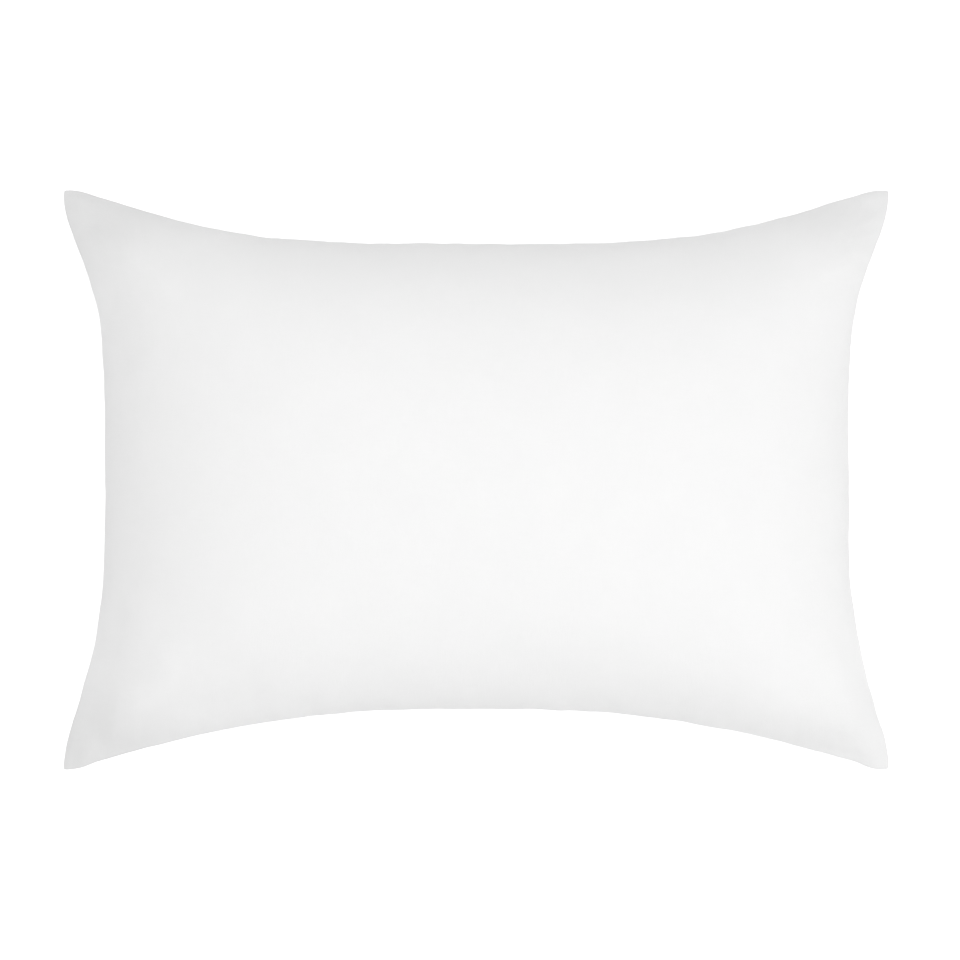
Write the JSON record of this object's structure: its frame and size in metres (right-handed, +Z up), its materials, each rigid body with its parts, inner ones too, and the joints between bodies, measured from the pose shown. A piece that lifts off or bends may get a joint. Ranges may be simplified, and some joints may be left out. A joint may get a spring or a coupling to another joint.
{
  "type": "filled pillowcase",
  "caption": "Plain white cotton pillowcase with knife-edge seams, filled and closed, lying on its back with a soft crown, drawn-in sides and squared ears.",
  "frame": {"origin": "middle of the plan, on the surface that the filled case lies on", "axes": "+Z up out of the front panel, +X along the long sides, +Y across towards the head side"},
  "size_m": [0.6838, 0.48, 0.1819],
  "materials": {
    "white_cotton": "plain close-woven cotton, pressed smooth, with a soft faint sheen"
  },
  "bodies": {
    "root": {"pillowcase": "white_cotton"}
  },
  "joints": []
}
